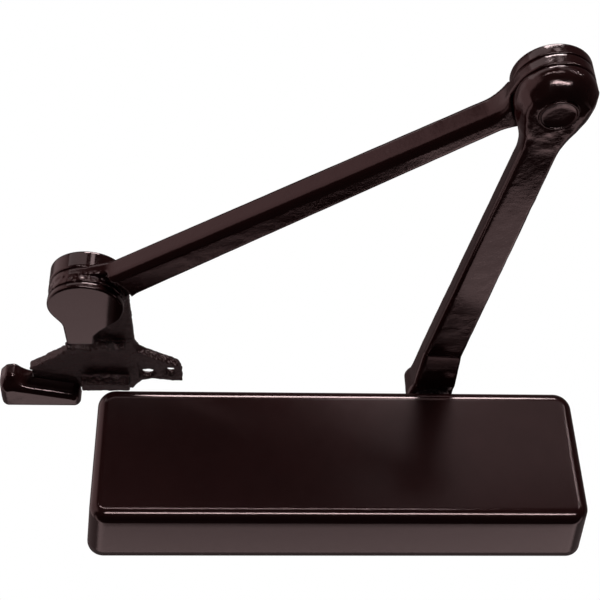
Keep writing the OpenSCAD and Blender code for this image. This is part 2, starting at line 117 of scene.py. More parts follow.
def block(x, y, z, low, high, r=1.0):
    plan = rounded(between(x, low[0], high[0]), between(y, low[1], high[1]), r)
    return rounded(plan, between(z, low[2], high[2]), r)


def outline(x, y, points):
    """Signed distance to a closed plan outline."""
    best = np.full(np.shape(x), 1e9)
    sign = np.ones(np.shape(x))
    for (ax, ay), (bx, by) in zip(points, points[1:] + points[:1]):
        ex, ey = bx - ax, by - ay
        t = np.clip(((x - ax) * ex + (y - ay) * ey) / (ex * ex + ey * ey), 0, 1)
        best = np.minimum(best, np.hypot(x - ax - t * ex, y - ay - t * ey))
        crosses = ((ay > y) != (by > y)) & (x < (bx - ax) * (y - ay) / ((by - ay) or 1e-9) + ax)
        sign = np.where(crosses, -sign, sign)
    return best * sign


def plate(x, y, z, points, low, high, r=1.0, corner=0.0):
    """An extruded outline with edges of radius r, grown by corner to round its corners."""
    return rounded(outline(x, y, points) - corner, between(z, low, high), r)


HASH_PRIMES = (73856093, 19349663, 83492791)
HASH_SEED, HASH_SCALE, HASH_SHIFT = 2654435, 1103515, 12345
HASH_MASK = 0xFFFFFF


def lattice_value(cell, seed):
    """A repeatable random value between -1 and 1 for each lattice point."""
    h = cell[0] * HASH_PRIMES[0] ^ cell[1] * HASH_PRIMES[1]
    h = (h ^ cell[2] * HASH_PRIMES[2] ^ seed * HASH_SEED) & HASH_MASK
    h = (h * HASH_SCALE + HASH_SHIFT) & HASH_MASK
    return h / (HASH_MASK // 2) - 1


def lumps(x, y, z, size, seed):
    """Smooth random field between -1 and 1, with bumps of the given size."""
    p = [np.asarray(v, dtype=float) / size + 100 for v in (x, y, z)]
    cell = [np.floor(v).astype(np.int64) for v in p]
    part = [v - c for v, c in zip(p, cell)]
    part = [t * t * (3 - 2 * t) for t in part]
    total = 0.0
    for corner in range(8):
        bit = [corner >> i & 1 for i in range(3)]
        weight = 1.0
        for t, b in zip(part, bit):
            weight = weight * (t if b else 1 - t)
        total = total + weight * lattice_value([c + b for c, b in zip(cell, bit)], seed)
    return total


SURFACE_PASSES = 4       # times that each vertex is moved towards the exact surface
SLOPE_REACH = 0.05       # half the distance over which a field's slope is taken
LEAST_SLOPE = 0.05       # squared, where a field is flat


def edge_crossings(value, axis):
    """Where neighbours along an axis differ in sign, how far along, and if the first is inside."""
    start = [slice(None)] * 3
    stop = [slice(None)] * 3
    start[axis] = slice(0, -1)
    stop[axis] = slice(1, None)
    a, b = value[tuple(start)], value[tuple(stop)]
    cross = (a < 0) != (b < 0)
    return cross, np.where(cross, a / np.where(cross, a - b, 1), 0), a < 0


def cell_points(crossings, cells):
    """The mean crossing point of each grid cell, in steps, and how many crossings it has."""
    total = np.zeros(cells + (3,))
    count = np.zeros(cells)
    place = np.stack(np.meshgrid(*[np.arange(n) for n in cells], indexing="ij"), -1)
    for axis, (cross, t, _) in enumerate(crossings):
        others = [i for i in range(3) if i != axis]
        for da in (0, 1):
            for db in (0, 1):
                part = [slice(None)] * 3
                part[others[0]] = slice(da, cells[others[0]] + da)
                part[others[1]] = slice(db, cells[others[1]] + db)
                c = cross[tuple(part)]
                point = place.astype(float)
                point[..., axis] += t[tuple(part)]
                point[..., others[0]] += da
                point[..., others[1]] += db
                total += np.where(c[..., None], point, 0)
                count += c
    return total, count


def crossing_quads(crossings, index, cells):
    """One quad round each crossed grid edge, facing outwards."""
    quads = []
    for axis, (cross, _, inside) in enumerate(crossings):
        u, v = (axis + 1) % 3, (axis + 2) % 3
        where = np.argwhere(cross)
        keep = (where[:, u] > 0) & (where[:, v] > 0)
        keep &= (where[:, u] < cells[u]) & (where[:, v] < cells[v])
        where = where[keep]
        ring = []
        for du, dv in ((1, 1), (0, 1), (0, 0), (1, 0)):
            cell = where.copy()
            cell[:, u] -= du
            cell[:, v] -= dv
            ring.append(index[tuple(cell.T)])
        quad = np.stack(ring, 1)
        flip = ~inside[tuple(where.T)]
        quad[flip] = quad[flip][:, ::-1]
        quads.append(quad)
    return np.concatenate(quads)


def surface_net(field, low, high, step):
    """Vertices and quads of the field's zero surface, with the vertices moved onto it."""
    axes = [np.arange(a, b + step, step) for a, b in zip(low, high)]
    value = field(*np.meshgrid(*axes, indexing="ij"))
    cells = tuple(n - 1 for n in value.shape)
    crossings = [edge_crossings(value, axis) for axis in range(3)]
    total, count = cell_points(crossings, cells)
    active = count > 0
    index = np.full(cells, -1)
    index[active] = np.arange(active.sum())
    points = np.array(low) + step * total[active] / count[active][:, None]
    for _ in range(SURFACE_PASSES):
        points = onto_surface(field, points, step)
    return points, crossing_quads(crossings, index, cells)


def onto_surface(field, points, step):
    """One step of each point towards the field's zero surface, at most half a grid step long."""
    x, y, z = points.T
    reach = SLOPE_REACH
    slope = np.stack([
        field(x + reach, y, z) - field(x - reach, y, z),
        field(x, y + reach, z) - field(x, y - reach, z),
        field(x, y, z + reach) - field(x, y, z - reach)], 1) / (2 * reach)
    size = np.maximum((slope ** 2).sum(1), LEAST_SLOPE)
    move = -(field(x, y, z) / size)[:, None] * slope
    length = np.maximum(np.linalg.norm(move, axis=1), 1e-9)
    return points + move * np.minimum(1, 0.5 * step / length)[:, None]


# ---- Meshes ----


def add_mesh(name, points, faces, turn=0.0, origin=(0, 0, 0)):
    """A smooth-shaded object from points in millimetres, turned about Z and moved to origin."""
    points = np.asarray(points, dtype=float)
    c, s = math.cos(turn), math.sin(turn)
    placed = np.stack([c * points[:, 0] - s * points[:, 1] + origin[0],
                       s * points[:, 0] + c * points[:, 1] + origin[1],
                       points[:, 2] + origin[2]], 1) * MM
    mesh = bpy.data.meshes.new(name)
    mesh.from_pydata(placed.tolist(), [], [list(map(int, f)) for f in faces])
    mesh.validate()
    mesh.shade_smooth()
    obj = bpy.data.objects.new(name, mesh)
    bpy.context.scene.collection.objects.link(obj)
    return obj


def forge(name, field, low, high, step, turn=0.0, origin=(0, 0, 0)):
    """An object from a field, meshed between two corners in steps of step millimetres."""
    points, quads = surface_net(field, low, high, step)
    return add_mesh(name, points, quads, turn, (origin[0], origin[1], 0))


def lathe(name, profile, centre, steps=96):
    """A turned piece: profile is a closed loop of (radius, height), anticlockwise."""
    points = []
    for i in range(steps):
        a = math.tau * i / steps
        points += [(r * math.cos(a), r * math.sin(a), z) for r, z in profile]
    n = len(profile)
    faces = []
    for i in range(steps):
        j = (i + 1) % steps
        for k in range(n):
            m = (k + 1) % n
            quad = [i * n + k, j * n + k, j * n + m, i * n + m]
            if profile[k][0] < 1e-6 and profile[m][0] < 1e-6:
                continue
            faces.append(quad)
    obj = add_mesh(name, points, faces, origin=(centre[0], centre[1], 0))
    bm = bmesh.new()
    bm.from_mesh(obj.data)
    bmesh.ops.remove_doubles(bm, verts=bm.verts, dist=1e-7)
    bmesh.ops.recalc_face_normals(bm, faces=bm.faces)
    bm.to_mesh(obj.data)
    bm.free()
    obj.data.shade_smooth()
    return obj


def arc(cx, cy, r, start, stop, steps=6):
    """Points along an arc between two angles in degrees."""
    return [(cx + r * math.cos(math.radians(start + (stop - start) * i / steps)),
             cy + r * math.sin(math.radians(start + (stop - start) * i / steps)))
            for i in range(steps + 1)]


# ---- The cover ----

cover_low, cover_high = np.round(np.array(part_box("cover")) / MM, 3)
COVER_L, COVER_H, COVER_D = cover_high[0] - cover_low[0], cover_high[2] - cover_low[2], -cover_low[1]
CORNER_R, EDGE_R, DRAFT, WALL = 10.9, 7.6, 4.9, 2.5
RIM_GAP = -cover_high[1]    # between the rim and the door
INNER_CORNER = 0.6       # how much of the wall's thickness the inner corners' radius loses
LEAST_CORNER_R = 1.5
CORNER_STEPS, SIDE_STEPS = 14, 24
SIDE_RINGS, EDGE_RINGS = 8, 12
FRONT_SHARE = (0.995, 0.985)    # size of the ring just inside the front's edge
OPENING_R = 17.4         # the notch round the pinion, open to the rim
SCREW_HEAD_R, SCREW_SINK_R, SCREW_HOLE_R = 4.5, 4.9, 2.7
SCREW_SINK_Z = 45.1


def rounded_outline(half_x, half_z, r):
    """Points round an upright rectangle with round corners, evenly numbered on every ring."""
    ring = []
    corners = ((1, 1, 0), (-1, 1, 90), (-1, -1, 180), (1, -1, 270))
    for sx, sz, start in corners:
        cx, cz = sx * (half_x - r), sz * (half_z - r)
        ring += [(cx + r * math.cos(math.radians(start + 90 * i / CORNER_STEPS)),
                  cz + r * math.sin(math.radians(start + 90 * i / CORNER_STEPS)))
                 for i in range(CORNER_STEPS + 1)]
    dense = []
    for i, (x, z) in enumerate(ring):
        nx, nz = ring[(i + 1) % len(ring)]
        dense.append((x, z))
        if i % (CORNER_STEPS + 1) == CORNER_STEPS:
            dense += [(x + (nx - x) * j / SIDE_STEPS, z + (nz - z) * j / SIDE_STEPS)
                      for j in range(1, SIDE_STEPS)]
    return dense


def cover_rings(wall):
    """Rings of the cover's skin from the rim to the front, moved in by the wall's thickness."""
    rings = []
    edge = EDGE_R - wall
    corner = CORNER_R - wall * INNER_CORNER
    flat_y = EDGE_R - COVER_D
    for i in range(SIDE_RINGS + 1):
        y = -RIM_GAP + (flat_y + RIM_GAP) * i / SIDE_RINGS
        rings.append((DRAFT * i / SIDE_RINGS + wall, y, corner))
    lean = math.atan2(DRAFT, -flat_y - RIM_GAP)
    for i in range(1, EDGE_RINGS + 1):
        a = lean + (math.pi / 2 - lean) * i / EDGE_RINGS
        inset = DRAFT + wall + edge * (math.cos(lean) - math.cos(a))
        y = flat_y - edge * (math.sin(a) - math.sin(lean))
        rings.append((inset, y, max(corner - edge * (1 - math.cos(a)), LEAST_CORNER_R)))
    return rings


def cover_skin(wall):
    """The rings' points. One more ring inside the flat front keeps the shading of its edge clean."""
    rings = []
    for inset, y, r in cover_rings(wall):
        plan = rounded_outline(COVER_L / 2 - inset, COVER_H / 2 - inset, r)
        rings.append([(x, y, z) for x, z in plan])
    share_x, share_z = FRONT_SHARE
    rings.append([(x * share_x, y, z * share_z) for x, y, z in rings[-1]])
    return rings


def make_cover():
    """The hollow cover: an outer and an inner skin joined at the rim."""
    outer, inner = cover_skin(0), cover_skin(WALL)
    n = len(outer[0])
    points, faces = [], []

    def add_rings(rings, flip):
        base = len(points)
        for ring in rings:
            points.extend(ring)
        for k in range(len(rings) - 1):
            for i in range(n):
                j = (i + 1) % n
                quad = [base + k * n + i, base + k * n + j,
                        base + (k + 1) * n + j, base + (k + 1) * n + i]
                faces.append(quad[::-1] if flip else quad)
        last = [base + (len(rings) - 1) * n + i for i in range(n)]
        faces.append(last[::-1] if flip else last)
        return base

    out = add_rings(outer, False)
    into = add_rings(inner, True)
    for i in range(n):
        j = (i + 1) % n
        faces.append([out + j, out + i, into + i, into + j])
    cover = add_mesh("cover_shell", points, faces)
    bm = bmesh.new()
    bm.from_mesh(cover.data)
    bmesh.ops.recalc_face_normals(bm, faces=bm.faces)
    bm.to_mesh(cover.data)
    bm.free()
    cover.data.shade_smooth()
    return cover


def cut_with(obj, cutter):
    """Takes the cutter's volume out of obj, and the cutter out of the scene."""
    mod = obj.modifiers.new("cut", "BOOLEAN")
    mod.operation = "DIFFERENCE"
    mod.solver = "EXACT"
    mod.object = cutter
    depsgraph = bpy.context.evaluated_depsgraph_get()
    mesh = bpy.data.meshes.new_from_object(obj.evaluated_get(depsgraph))
    obj.modifiers.clear()
    obj.data = mesh
    bpy.data.objects.remove(cutter)


def prism(name, plan, low, high):
    """A straight-sided solid from a plan outline, in millimetres."""
    n = len(plan)
    points = [(x, y, low) for x, y in plan] + [(x, y, high) for x, y in plan]
    faces = [list(range(n))[::-1], list(range(n, 2 * n))]
    faces += [[i, (i + 1) % n, n + (i + 1) % n, n + i] for i in range(n)]
    return add_mesh(name, points, faces)


def circle(cx, cy, r, count=48):
    return arc(cx, cy, r, 0, 360 - 360 / count, count - 1)


def open_cover_top(cover):
    """Cuts the notch for the pinion and the two countersunk screw holes."""
    low, high, past_rim = 30, 60, 5
    notch = arc(PINION[0], PINION[1], OPENING_R, 180, 360, 40)
    notch += [(PINION[0] + OPENING_R, past_rim), (PINION[0] - OPENING_R, past_rim)]
    cut_with(cover, prism("opening_cutter", notch, low, high))
    first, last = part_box("cover_screws")
    for x in (first[0] / MM + SCREW_HEAD_R, last[0] / MM - SCREW_HEAD_R):
        sink, hole = circle(x, PINION[1], SCREW_SINK_R), circle(x, PINION[1], SCREW_HOLE_R)
        cut_with(cover, prism("sink_cutter", sink, SCREW_SINK_Z, high))
        cut_with(cover, prism("hole_cutter", hole, low, high))


cover = make_cover()
open_cover_top(cover)

# ---- The main arm ----

BAR_START, KINK, BAR_END = 16.0, 38.0, 232.0    # from the pinion's axis
MAIN_W = (12.3, 9.5)     # half widths at the kink and the end
MAIN_BOTTOM, MAIN_TOP = (51.5, 60, 71.5), (68, 72, 81.2)
FLOOR_START, FLOOR_HUB = 14, 30
FLOOR = (40, 55, 59.8, 71.4)    # lowest Z of the bar's underside, so that its blends don't sag
BAR_TOP_LIMIT = 81.3     # highest Z outside the boss
STUD_R, STUD_TOP = 9.3, 79
BOSS_Z = (71.5, 85.5)
BOSS_MID, BOSS_DROP = 84.7, 14.8
HUB_R, HUB_Z = 14.4, (51.0, 70.0)
SQUARE, SQUARE_TOP, HUB_SCREW_R = 11.36, 66.3, 4.3
SWELL, SWELL_SIZE = 0.06, 7      # the slow unevenness of a forged bar
DENT, DENT_SIZE = (0.04, 0.16), 4.2     # the finer one, along the bar and on the boss
DENT_START, DENT_RUN = 26, 10    # how far before the elbow's axis it begins to grow, and how long


def soft_bar(y, z, half, low, high, r, soft):
    """A bar's section with edges of radius r, and a softer one where +y meets the underside."""
    corner_y, corner_z = y - (half - soft), low + soft - z
    corner = (np.hypot(np.maximum(corner_y, 0), np.maximum(corner_z, 0))
              + np.minimum(np.maximum(corner_y, corner_z), 0) - soft)
    return np.maximum(rounded(np.abs(y) - half, between(z, low, high), r), corner)


def elbow_boss(reach, z):
    """The lower half of an ellipsoid, cut flat below."""
    drop = np.minimum(z - BOSS_MID, 0)
    scaled = np.sqrt((reach / ELBOW_R) ** 2 + (drop / BOSS_DROP) ** 2)
    steep = np.sqrt((reach / ELBOW_R ** 2) ** 2 + (drop / BOSS_DROP ** 2) ** 2)
    boss = scaled * (scaled - 1) / np.maximum(steep, 1e-4)
    return smooth_max(boss, BOSS_Z[0] - z, 1.5)


def main_arm_field(x, y, z):
    """The arm along +X from the pinion, with a boss at the elbow."""
    stations = (BAR_START, KINK, BAR_END)
    bottom = np.interp(x, stations, MAIN_BOTTOM)
    top = np.interp(x, stations, MAIN_TOP)
    half = np.interp(x, (0, KINK, BAR_END), (HUB_R, *MAIN_W))
    bar = np.maximum(soft_bar(-y, z, half, bottom, top, 1.3, 3.5), between(x, 0, MAIN_L))
    hub = disc(x, y, z, HUB_R, *HUB_Z, 1.4)
    hub_reach, reach = np.hypot(x, y), np.hypot(x - MAIN_L, y)
    body = smooth_min(bar, hub, 3)
    body = smooth_min(body, elbow_boss(reach, z), 15)
    floor = np.interp(x, (FLOOR_START, FLOOR_HUB, KINK, BAR_END), FLOOR)
    body = smooth_max(body, floor - z, 2.0)
    body = smooth_max(body, np.minimum(z - BAR_TOP_LIMIT, reach - ELBOW_R - 0.1), 0.8)
    body = smooth_max(body, z - BOSS_Z[1], 0.8)
    # The pinion's square socket and its screw hole, then the stud's counterbore and bore
    socket = np.maximum(np.maximum(np.abs(x), np.abs(y)) - SQUARE / 2, z - SQUARE_TOP)
    body = smooth_max(body, -socket, 0.5)
    body = smooth_max(body, HUB_SCREW_R - hub_reach, 0.5)
    body = smooth_max(body, -np.maximum(reach - STUD_R - 0.1, z - STUD_TOP), 0.3)
    body = smooth_max(body, PIN_R - reach, 0.3)
    dent = np.interp(x - MAIN_L + DENT_START, (0, DENT_RUN), DENT)
    return body + SWELL * lumps(x, y, z, SWELL_SIZE, 3) + dent * lumps(x, y, z, DENT_SIZE, 4)


main_arm = forge("main_arm_forging", main_arm_field, (-19, -24, 48), (MAIN_L + 24, 24, 89), 0.9,
                 MAIN_DIR, PINION)

# ---- The forearm ----

BAR_Z = (82.0, 95.0)
FORE_END = 8             # from each axis to the end of the bar, inside the eye
FORE_W = (7.7, 12.8)     # half widths of the bar's top near the elbow and near the shoe
FORE_TAPER = 20          # from each axis to where the taper starts
LEAN = 2.2               # how much narrower each side is at the bottom
EYE_TOP = 93.1
ELBOW_EYE, HUB_EYE = 85.9, 83.6
DISC_ROOM = 0.7
RECESS_R, RECESS_Z = 30.0, 87.5
TRIM, TRIM_SIZE, TRIM_REACH = 0.35, 1.7, 1.5    # the roughness of the recess


def eye_room(reach, z, radius, low, high):
    """Keeps the bar out of the discs above and below an eye."""
    return np.minimum(radius + DISC_ROOM - reach, np.maximum(low - z, z - high))


def forearm_field(x, y, z):
    """The forearm along +X from the elbow, with an eye at each end."""
    half = np.interp(x, (FORE_TAPER, FORE_L - FORE_TAPER), FORE_W)
    half = half - LEAN * (BAR_Z[1] - z) / (BAR_Z[1] - BAR_Z[0])
    bar = soft_bar(y, z, half, *BAR_Z, 1.8, 4.5)
    bar = np.maximum(bar, between(x, FORE_END, FORE_L - FORE_END))
    elbow_reach = np.hypot(x, y)
    hub_reach = np.hypot(x - FORE_L, y)
    elbow_eye = disc(x, y, z, ELBOW_R, ELBOW_EYE, EYE_TOP, 0.7)
    hub_eye = disc(x - FORE_L, y, z, LUG_R, HUB_EYE, EYE_TOP, 0.7)
    body = smooth_min(smooth_min(bar, elbow_eye, 14), hub_eye, 13)
    body = np.maximum(body, between(z, *BAR_Z))
    body = smooth_max(body, eye_room(elbow_reach, z, ELBOW_R, ELBOW_EYE, EYE_TOP), 1.0)
    body = smooth_max(body, eye_room(hub_reach, z, LUG_R, HUB_EYE, EYE_TOP), 0.5)
    body = smooth_max(body, BUSH_R - elbow_reach, 0.4)
    body = smooth_max(body, BUSH_R - hub_reach, 0.4)
    # Rough trimming where the bar has been cut back round the shoe's lower lug
    recess = np.maximum(np.maximum(hub_reach - RECESS_R, z - RECESS_Z), LUG_R - hub_reach)
    body = smooth_max(body, -recess, 1.2)
    trimmed = np.clip((RECESS_R + TRIM_REACH - hub_reach) / 2, 0, 1) * (z < RECESS_Z + TRIM_REACH)
    body = body + SWELL * lumps(x, y, z, SWELL_SIZE, 7)
    return body + TRIM * trimmed * lumps(x, y, z, TRIM_SIZE, 8)


forearm = forge("forearm_forging", forearm_field, (-24, -27, 79), (FORE_L + 27, 27, 98), 0.9,
                FORE_DIR, ELBOW)

# ---- The elbow's turned pieces ----

SHANK_R, SHANK_TOP = 8.0, 98.0
HEAD_FACE = [(0, 72.1), (4, 72.1), (7.2, 72.0), (8.0, 71.7)]
HEAD_RING = arc(STUD_R, BOSS_Z[0], 0.5, 170, 350, 8)
CAP_EDGE_LOW, CAP_EDGE_HIGH = 0.7, 1.3
CAP_LIP_R, CAP_LIP = 13.1, 1.0       # the ring that the elbow's washer sits in
GROOVE_R, GROOVE = (15.2, 14.9, 14.3, 14.0), 0.35


def stud_profile():
    """The rivet: a round head with a fine ring round it, and its shank."""
    collar_r = STUD_R - 0.1
    return HEAD_FACE + HEAD_RING + [(collar_r, 72.5), (collar_r, STUD_TOP), (SHANK_R, STUD_TOP),
                                    (SHANK_R, SHANK_TOP), (0, SHANK_TOP)]


def cap_profile():
    """The disc on top of the elbow, with a groove round its middle."""
    low, high = CAP_Z
    return ([(SHANK_R, low + CAP_LIP), (CAP_LIP_R, low + CAP_LIP), (CAP_LIP_R, low)]
            + arc(ELBOW_R - CAP_EDGE_LOW, low + CAP_EDGE_LOW, CAP_EDGE_LOW, -90, 0, 4)
            + arc(ELBOW_R - CAP_EDGE_HIGH, high - CAP_EDGE_HIGH, CAP_EDGE_HIGH, 0, 90, 6)
            + list(zip(GROOVE_R, (high, high - GROOVE, high - GROOVE, high)))
            + [(0, high), (0, SHANK_TOP), (SHANK_R, SHANK_TOP)])


stud = lathe("elbow_rivet", stud_profile(), ELBOW)
cap = lathe("elbow_top_cap", cap_profile(), ELBOW)

# ---- The shoe ----

# Outlines are plans about the shoe's pivot, and each _Z is the underside of what hangs from SEAT_Z.
LOW_LUG = (78.9, 83.2)
TOP_LUG = 93.5
PLATE_Z, FLANGE_Z, WING_Z, RIB_Z, EAR_Z = 99.0, 99.5, 101.5, 91.0, 101.0
NECK_X, NECK_Y = (-16.3, 1.3), (14, 66)
NECK_RISE_Y, NECK_RISE_Z = (44, 66), (80.1, 97)     # the neck's underside climbs to the plate
NECK_ROOM = 1.3          # from the forearm's eye to the neck
NECK_FOOT = [(-16.3, 12), (18, 12), (2, 34), (0.5, 44), (-16.3, 44)]
NECK_FOOT_TOP = 81.7
RIDGE_X, RIDGE_AT, RIDGE_R = (-22, 18), (74.0, 96.0), 4.0
RIDGE_WAVER, RIDGE_WAVER_SIZE = 1.6, 6
RIDGE_DENT, RIDGE_DENT_SIZE = 0.7, 2.4
COARSE, COARSE_SIZE, FINE, FINE_SIZE = 0.3, 3.2, 0.24, 1.7      # the forging's roughness
SMOOTH_Z = 82            # height of the smooth foot
PIN_LOW, PIN_HIGH = 80.5, SEAT_Z - 1.5
LEFT_WING = [(-26.5, 89.5), (-51.5, 111), (-53, 113.5), (-50, 114.8), (-18, 123.8), (-5, 123.8),
             (-5, 89.5)]
MIDDLE = [(-22, 85), (22, 85), (24, 100), (25, 126.3), (18.9, 139.3), (-17.5, 139.3),
          (-17.5, 123), (-24, 118)]
RIGHT_WING = [(10, 79), (23.7, 87), (52.3, 106.5), (54.9, 116.5), (54.9, 132.4), (36, 130),
              (33.5, 129), (25, 131.5), (19.5, 138), (10, 138)]
RIGHT_FLANGE = [(8, 79), (23.7, 87), (52.3, 106.5), (54.5, 113.5), (41, 107.3), (16, 99)]
RIB = [(-16.5, 119), (17.5, 119), (17.5, 129), (-16.5, 129)]
EAR = [(-52, 114.5), (-12, 118), (-12, 135), (-20.5, 143), (-52, 143)]
TONGUE = [(-22, 0), (LUG_R, 0), (LUG_R, 96), (-22, 96)]
# Each hole as (x, y, radius, depth of its countersink)
SHOE_HOLES = [(30.3, 121.2, 4.2, 3.0), (46.8, 118.8, 3.0, 2.5)]
SINK_R = 6.4
BLOCK_SCREWS = [(-46, 138.5), (-29, 138.5)]
BLOCK_SCREW_R, BLOCK_SINK, BLOCK_SINK_H = 2.52, 2.3, 2.2


def shoe_plates(x, y, z):
    """The flat top of the shoe: tongue, middle and left wing, then the thinner wing and the ear."""
    plan = smooth_min(outline(x, y, LEFT_WING), outline(x, y, MIDDLE), 4)
    plan = smooth_min(plan, outline(x, y, TONGUE), 8)
    body = rounded(plan, between(z, PLATE_Z, SEAT_Z), 1.4)
    wing_plan = smooth_min(outline(x, y, RIGHT_WING), plan, 6)
    body = np.minimum(body, rounded(wing_plan, between(z, WING_Z, SEAT_Z), 1.2))
    return smooth_min(body, plate(x, y, z, RIGHT_FLANGE, FLANGE_Z, SEAT_Z, 1.4), 1.0)


def shoe_neck(x, y, z):
    """The neck between the lower lug and the plate, beside the forearm's eye."""
    bottom = np.interp(y, NECK_RISE_Y, NECK_RISE_Z)
    neck = rounded(between(x, *NECK_X), between(z, bottom, SEAT_Z - 2), 1.2)
    return np.maximum(neck, between(y, *NECK_Y))


def shoe_ridge(x, y, z):
    """The wavering ridge left across the neck by the dies."""
    waver = RIDGE_WAVER * lumps(x, 0 * y, 0 * z, RIDGE_WAVER_SIZE, 21)
    ridge = np.hypot(y - RIDGE_AT[0] - waver, z - RIDGE_AT[1]) - RIDGE_R
    return rounded(ridge, between(x, *RIDGE_X), 1.2) + RIDGE_DENT * lumps(x, y, z, RIDGE_DENT_SIZE, 22)


def shoe_low_lug(x, y, z, reach):
    """The lower lug, with the neck's foot running out of it."""
    plan = smooth_min(reach - LUG_R, outline(x, y, NECK_FOOT), 6)
    return np.minimum(rounded(plan, between(z, LOW_LUG[0], NECK_FOOT_TOP), 1.2),
                      disc(x, y, z, LUG_R, *LOW_LUG, 1.2))


def shoe_holes(body, x, y, z):
    """Countersunk holes: the frame's screws come from below, and the stop block's from above."""
    for hx, hy, hole_r, sink_h in SHOE_HOLES:
        cone = np.clip((WING_Z + sink_h - z) / sink_h, 0, 1) * (SINK_R - hole_r)
        body = smooth_max(body, hole_r + cone - np.hypot(x - hx, y - hy), 0.4)
    for hx, hy in BLOCK_SCREWS:
        cone = np.clip((z - SEAT_Z + BLOCK_SINK_H) / BLOCK_SINK_H, 0, 1) * BLOCK_SINK
        body = smooth_max(body, BLOCK_SCREW_R + cone - np.hypot(x - hx, y - hy), 0.3)
    return body


def shoe_field(x, y, z):
    """The whole shoe: its forging, its two lugs, the slot for the forearm's eye and the holes."""
    reach = np.hypot(x, y)
    forging = smooth_min(shoe_plates(x, y, z), shoe_neck(x, y, z), 4)
    forging = smooth_min(forging, plate(x, y, z, RIB, RIB_Z, SEAT_Z, 1.2), 2.5)
    forging = np.minimum(forging, plate(x, y, z, EAR, EAR_Z, SEAT_Z, 0.8))
    forging = smooth_min(forging, shoe_ridge(x, y, z), 1.5)
    # Rough as forged, but smooth on the lugs and the foot
    as_forged = np.clip((reach - LUG_R - 1) / 2, 0, 1) * np.clip((z - SMOOTH_Z) / 2, 0, 1)
    rough = COARSE * lumps(x, y, z, COARSE_SIZE, 11) + FINE * lumps(x, y, z, FINE_SIZE, 12)
    body = smooth_min(forging, shoe_low_lug(x, y, z, reach), 1.5) + as_forged * rough
    body = smooth_min(body, disc(x, y, z, LUG_R, TOP_LUG, SEAT_Z, 1.4), 1.5)
    slot = np.maximum(reach - LUG_R - NECK_ROOM, between(z, LOW_LUG[1], TOP_LUG))
    body = smooth_max(body, -slot, 0.6)
    body = smooth_max(body, z - SEAT_Z, 0.6)
    body = shoe_holes(body, x, y, z)
    return np.maximum(body, -np.maximum(reach - PIN_R, between(z, PIN_LOW, PIN_HIGH)))


shoe = forge("shoe_forging", shoe_field, (-57, -27, 76), (59, 147, 109.5), 0.75, 0.0, HUB)

BLOCK_PLAN = [(-69.6, 128), (-65.5, 127), (-26, 139), (-24.5, 140.5), (-24.5, 146), (-71.5, 146)]
BLOCK_EAR = [(-70, 140), (-70, 123.5), (-68.3, 119.5), (-65.4, 118.8), (-64, 123), (-62, 132)]
BLOCK_Z, BLOCK_EAR_Z, BLOCK_HOLE_Z = 89.0, 95.0, 94.0
BLOCK_ROUND, BLOCK_EAR_ROUND = (5.0, 5.0), (3.5, 3.0)     # radii of the edges and of the corners
REBATE_LOW, REBATE_HIGH = (-53, 100, EAR_Z - 0.05), (-10, 160, SEAT_Z + 9)


def stop_field(x, y, z):
    """The stop block, with a rebate for the shoe's ear and two blind screw holes."""
    above = SEAT_Z + 4       # past the flat top, which cuts the rounded edges off
    body = smooth_min(plate(x, y, z, BLOCK_PLAN, BLOCK_Z, above, *BLOCK_ROUND),
                      plate(x, y, z, BLOCK_EAR, BLOCK_EAR_Z, above, *BLOCK_EAR_ROUND), 8)
    body = smooth_max(body, z - SEAT_Z, 1.0)
    body = smooth_max(body, -block(x, y, z, REBATE_LOW, REBATE_HIGH, 0.3), 0.4)
    for hx, hy in BLOCK_SCREWS:
        hole = np.maximum(np.hypot(x - hx, y - hy) - BLOCK_SCREW_R, BLOCK_HOLE_Z - z)
        body = np.maximum(body, -hole)
    return body


stop_block = forge("stop_block_casting", stop_field, (-81, 111, 86), (-15, 155, 109.5), 0.7, 0.0,
                   HUB)

# ---- The power spring ----

SPRING_TURNS, WIRE_R = 13, 3.2
TURN_STEPS, WIRE_SIDES = 32, 14


def make_spring():
    """The coil between its seat and the piston, as round wire."""
    low, high = np.array(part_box("power_spring")) / MM
    start, stop = low[0] + WIRE_R, high[0] - WIRE_R
    coil_r = (high[2] - low[2]) / 2 - WIRE_R
    centre_y, centre_z = PINION[1], (high[2] + low[2]) / 2
    steps = SPRING_TURNS * TURN_STEPS
    points = []
    for i in range(steps + 1):
        turn = math.tau * i / TURN_STEPS
        for j in range(WIRE_SIDES):
            a = math.tau * j / WIRE_SIDES
            r = coil_r + WIRE_R * math.sin(a)
            points.append((start + (stop - start) * i / steps + WIRE_R * math.cos(a),
                           centre_y + r * math.cos(turn), centre_z + r * math.sin(turn)))
    faces = []
    for i in range(steps):
        here, there = i * WIRE_SIDES, (i + 1) * WIRE_SIDES
        for j in range(WIRE_SIDES):
            k = (j + 1) % WIRE_SIDES
            faces.append([here + j, there + j, there + k, here + k])
    last_ring = steps * WIRE_SIDES
    faces.append(list(range(WIRE_SIDES)))
    faces.append(list(range(last_ring, last_ring + WIRE_SIDES))[::-1])
    return add_mesh("power_spring_coil", points, faces)


spring = make_spring()

# ---- Materials ----


def shader(name):
    mat = bpy.data.materials.new(name)
    mat.use_nodes = True
    nodes, links = mat.node_tree.nodes, mat.node_tree.links
    return mat, nodes, links, nodes["Principled BSDF"], nodes.new("ShaderNodeTexCoord")


def noise_node(nodes, links, coord, scale, detail=3.0, rough=0.55):
    tex = nodes.new("ShaderNodeTexNoise")
    tex.inputs["Scale"].default_value = scale
    tex.inputs["Detail"].default_value = detail
    tex.inputs["Roughness"].default_value = rough
    links.new(coord.outputs["Object"], tex.inputs["Vector"])
    return tex


